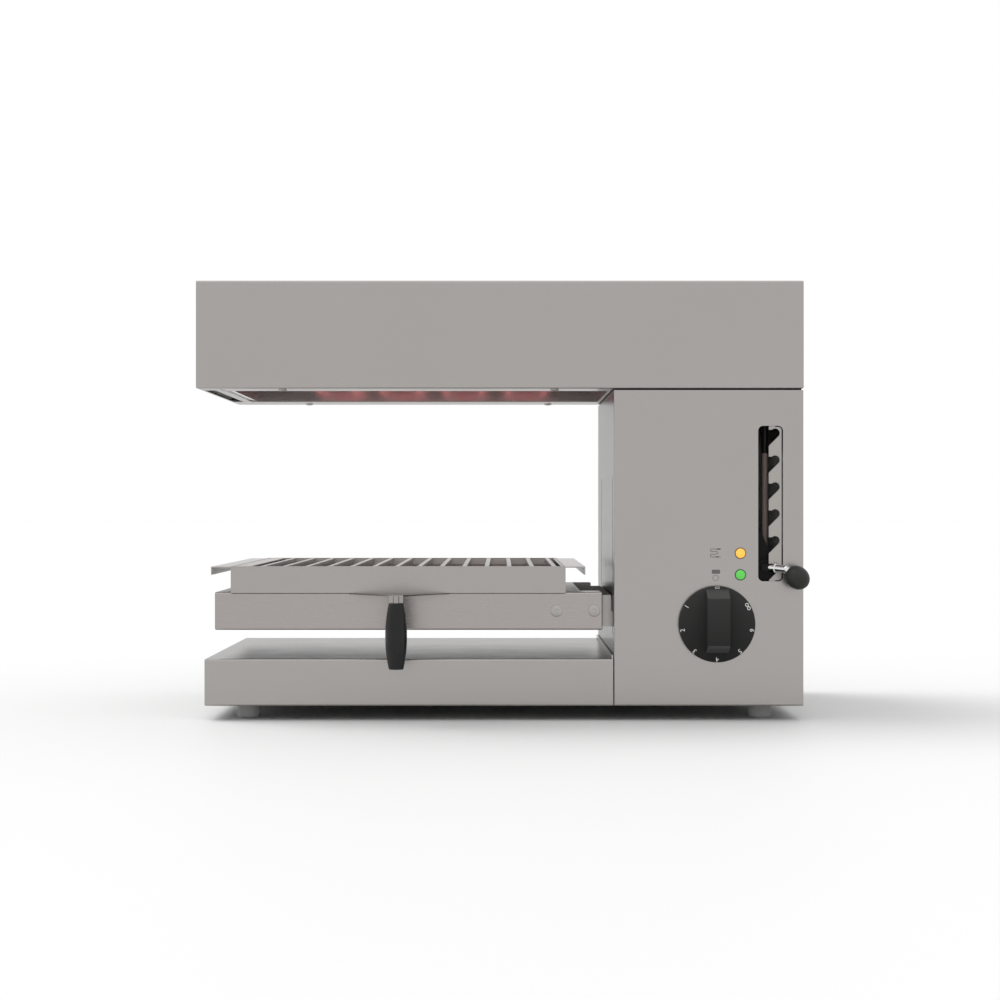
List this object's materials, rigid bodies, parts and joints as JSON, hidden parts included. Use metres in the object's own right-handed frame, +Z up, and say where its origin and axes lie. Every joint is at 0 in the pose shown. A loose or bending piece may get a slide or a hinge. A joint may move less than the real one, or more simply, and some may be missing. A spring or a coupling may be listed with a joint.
{
  "type": "cheese melter",
  "caption": "Electric cheese melter: heated hood on a side column, notched lift worked by a ball lever, and a grill pan with grid that slides out.",
  "frame": {"origin": "on the floor, under the middle of the whole object's bounding box", "axes": "+X to the right seen from the front, +Y from the front to the back, +Z up"},
  "size_m": [0.6115, 0.4642, 0.4407],
  "materials": {
    "casing_steel": "fine brushed stainless sheet",
    "inner_steel": "plain galvanised sheet",
    "reflector_steel": "heat-tinted sheet",
    "pan_steel": "satin stainless",
    "bright_steel": "polished",
    "zinc_steel": "zinc plated",
    "spring_steel": "oiled",
    "element_sheath": "oxidised sheath with a faint red glow",
    "black_paint": "matt black",
    "bronze": "turned",
    "buffer_rubber": "matt",
    "foot_plastic": "moulded",
    "black_plastic": "moulded, light gloss",
    "amber_lens": "clear tinted, lit",
    "green_lens": "clear tinted, lit",
    "pale_plastic": "moulded",
    "insulation": "mineral fibre blanket",
    "wire_jacket": "sleeved"
  },
  "bodies": {
    "frame": {"base_shell": "casing_steel", "chassis_floor": "inner_steel", "feet": "foot_plastic", "foot_screws": "zinc_steel", "column_front_panel": "casing_steel", "column_left_wall": "casing_steel", "column_right_wall": "casing_steel", "column_rear_cover": "casing_steel", "rear_cover_screws": "zinc_steel", "column_top_plate": "black_paint", "hood_bolts": "zinc_steel", "hood_shell": "casing_steel", "hood_bottom_frame": "casing_steel", "hood_frame_screws": "zinc_steel", "hood_reflector": "reflector_steel", "heating_elements": "element_sheath", "element_fittings": "zinc_steel", "element_hangers": "inner_steel", "hood_insulation": "insulation", "guide_rods": "bright_steel", "guide_rod_collars": "zinc_steel", "stop_buffers": "buffer_rubber", "latch_guide_rod": "bright_steel", "notch_plate": "casing_steel", "notch_plate_screws": "zinc_steel", "counterbalance_springs": "spring_steel", "spring_anchor_bar": "inner_steel", "energy_regulator": "pale_plastic", "regulator_screws": "zinc_steel", "lamp_bezels": "black_plastic", "lamp_lens_amber": "amber_lens", "lamp_lens_green": "green_lens", "lamp_bodies": "pale_plastic", "terminal_block": "pale_plastic", "cable_gland": "black_plastic", "bonding_stud": "zinc_steel", "wiring_loom": "wire_jacket"},
    "carriage": {"carriage_plate": "inner_steel", "carriage_bushes": "bronze", "carriage_arms": "inner_steel", "carriage_bolts": "zinc_steel", "carrier_frame": "casing_steel", "carrier_spacers": "zinc_steel", "carrier_screws": "zinc_steel", "latch_bracket": "black_paint", "lever_pivot_pin": "zinc_steel"},
    "lever": {"latch_lever": "black_paint", "lever_rod": "bright_steel", "lever_ball": "black_plastic"},
    "pan": {"grill_pan": "pan_steel", "handle_plate": "pan_steel", "handle_grip": "black_plastic", "grip_nut": "zinc_steel"},
    "grid": {"grill_grid": "pan_steel"},
    "knob": {"dial_knob": "black_plastic", "regulator_shaft": "zinc_steel"}
  },
  "joints": [
    {"name": "carriage_lift", "type": "slide", "parent": "frame", "child": "carriage", "axis": [0, 0, 1], "range_m": [0, 0.1347], "deforming": ["counterbalance_springs"]},
    {"name": "lever", "type": "hinge", "parent": "carriage", "child": "lever", "pos_m": [0.266, -0.1479, 0.1132], "axis": [0, 1, 0], "range_deg": [0, 7]},
    {"name": "pan_slide", "type": "slide", "parent": "carriage", "child": "pan", "axis": [0, -1, 0], "range_m": [0, 0.2]},
    {"name": "grid_lift", "type": "slide", "parent": "pan", "child": "grid", "axis": [0, 0, 1], "range_m": [0, 0.03]},
    {"name": "knob", "type": "hinge", "parent": "frame", "child": "knob", "pos_m": [0.217, -0.1599, 0.097], "axis": [0, 1, 0], "range_deg": [0, 300]}
  ]
}
